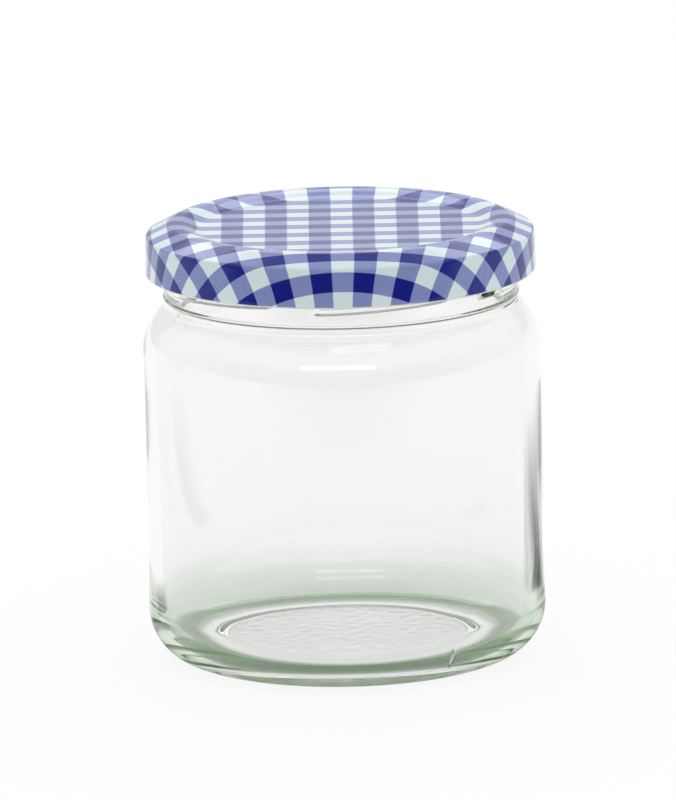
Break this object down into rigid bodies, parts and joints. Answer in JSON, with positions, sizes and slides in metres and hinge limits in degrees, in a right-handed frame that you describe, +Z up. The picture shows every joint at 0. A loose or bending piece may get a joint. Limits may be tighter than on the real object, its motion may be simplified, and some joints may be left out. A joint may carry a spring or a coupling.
{
  "type": "twist-off jar",
  "caption": "Clear glass food jar with a wide mouth and a low twist-off steel lid printed in a gingham check, shown empty and closed.",
  "frame": {"origin": "bottom centre of the whole object, on its axis and on the plane that the jar stands on", "axes": "+Z is up along the axis of the jar, the viewer of the picture looks along +Y, +X is to the right"},
  "size_m": [0.0864, 0.0862, 0.0959],
  "materials": {
    "clear_glass": "clear moulded soda-lime glass with a faint green tint, strongest in the thick heel",
    "printed_steel": "glossy varnished tinplate printed with a blue and white gingham check, white lacquer inside",
    "sealing_ring": "satin off-white sealing compound"
  },
  "bodies": {
    "root": {"jar_glass": "clear_glass", "lid_shell": "printed_steel", "lid_seal": "sealing_ring"}
  },
  "joints": []
}
